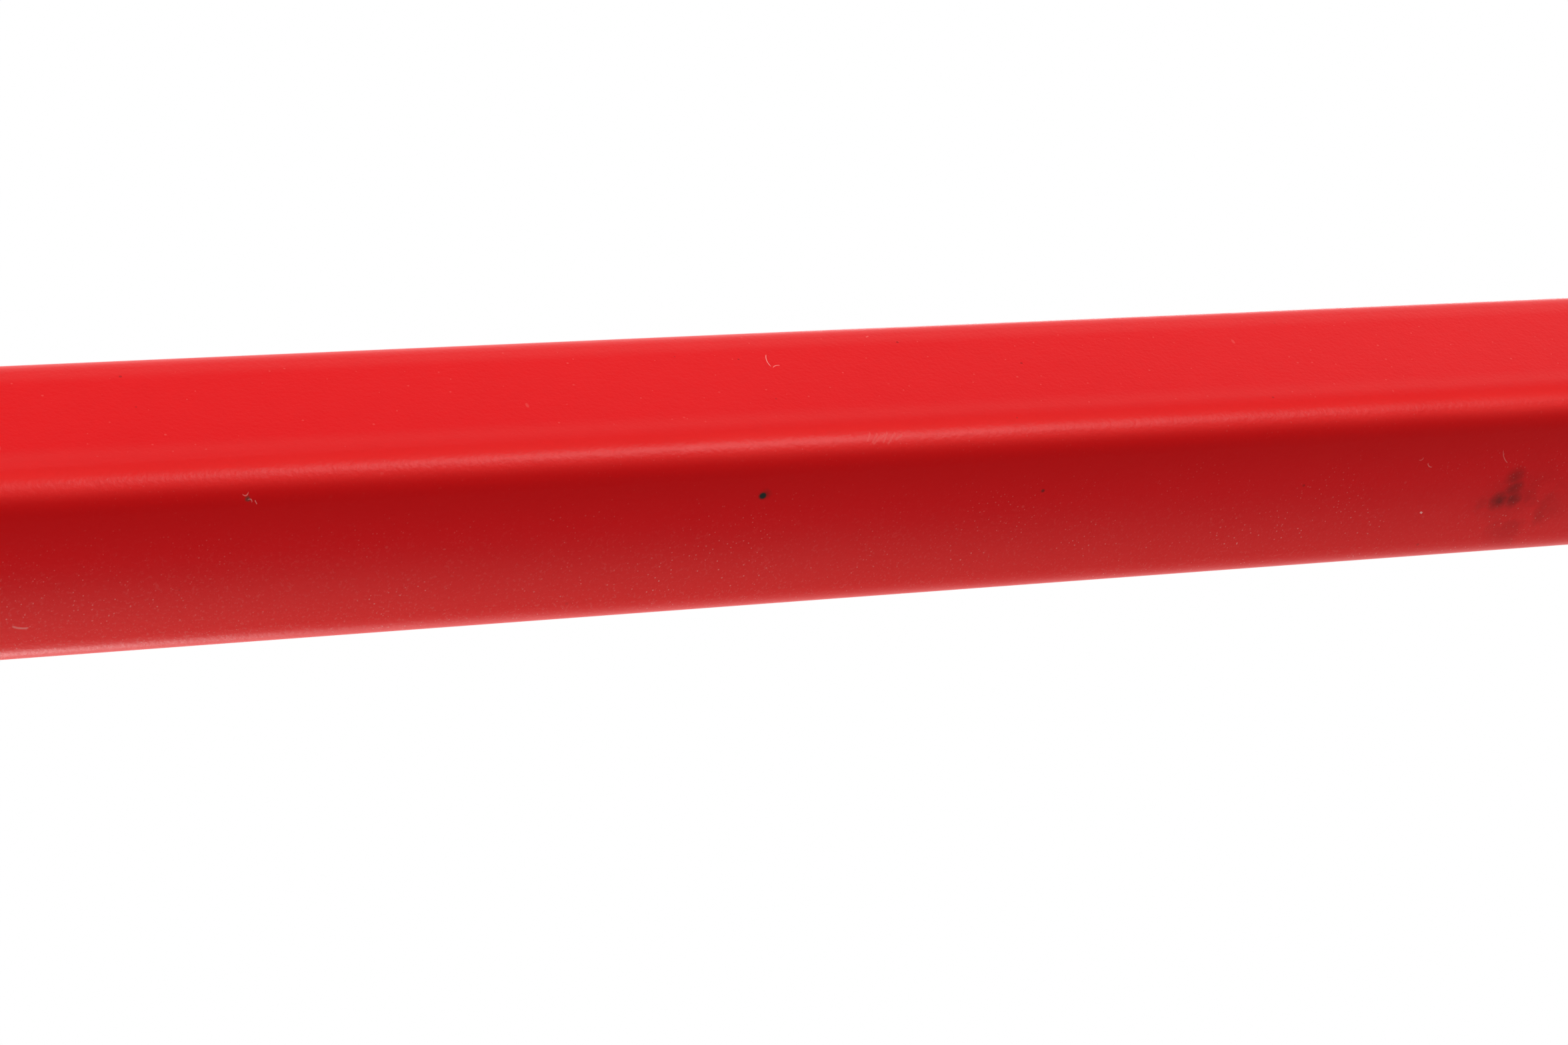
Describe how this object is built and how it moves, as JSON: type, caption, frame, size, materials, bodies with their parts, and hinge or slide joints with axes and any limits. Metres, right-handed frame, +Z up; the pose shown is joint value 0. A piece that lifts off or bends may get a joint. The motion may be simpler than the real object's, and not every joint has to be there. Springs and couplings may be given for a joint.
{
  "type": "post driver",
  "caption": "Hand fence-post driver: a heavy steel tube with a weighted, closed head and two bolt-on handles of rounded square tube, powder-coated red.",
  "frame": {"origin": "centre of the open mouth, in the plane that the driver stands on", "axes": "+Z up the tube's axis towards the closed head, +X towards the right handle, -Y the front, where the bolts have their heads"},
  "size_m": [0.2552, 0.086, 0.622],
  "materials": {
    "red_coat": "satin red powder coat over steel, fine-grained, with dust, small chips and rub marks",
    "bare_steel": "bare mild steel, dull and peened by posts",
    "zinc_plate": "bright zinc plating",
    "black_plastic": "black moulded polythene",
    "nylon": "natural nylon"
  },
  "bodies": {
    "root": {"bolt_washers": "zinc_plate", "cap_weld": "red_coat", "crush_sleeves": "zinc_plate", "drive_tube": "red_coat", "end_cap": "red_coat", "handle_bolts": "zinc_plate", "left_handle": "red_coat", "lock_nuts": "zinc_plate", "lower_left_end_plug": "black_plastic", "lower_left_lug_welds": "red_coat", "lower_left_lugs": "red_coat", "lower_right_end_plug": "black_plastic", "lower_right_lug_welds": "red_coat", "lower_right_lugs": "red_coat", "mouth_ring": "red_coat", "mouth_ring_weld": "red_coat", "nut_inserts": "nylon", "ram_plug_welds": "red_coat", "ram_weight": "bare_steel", "right_handle": "red_coat", "strike_plate": "bare_steel", "strike_plug_welds": "red_coat", "upper_left_end_plug": "black_plastic", "upper_left_lug_welds": "red_coat", "upper_left_lugs": "red_coat", "upper_right_end_plug": "black_plastic", "upper_right_lug_welds": "red_coat", "upper_right_lugs": "red_coat"}
  },
  "joints": []
}
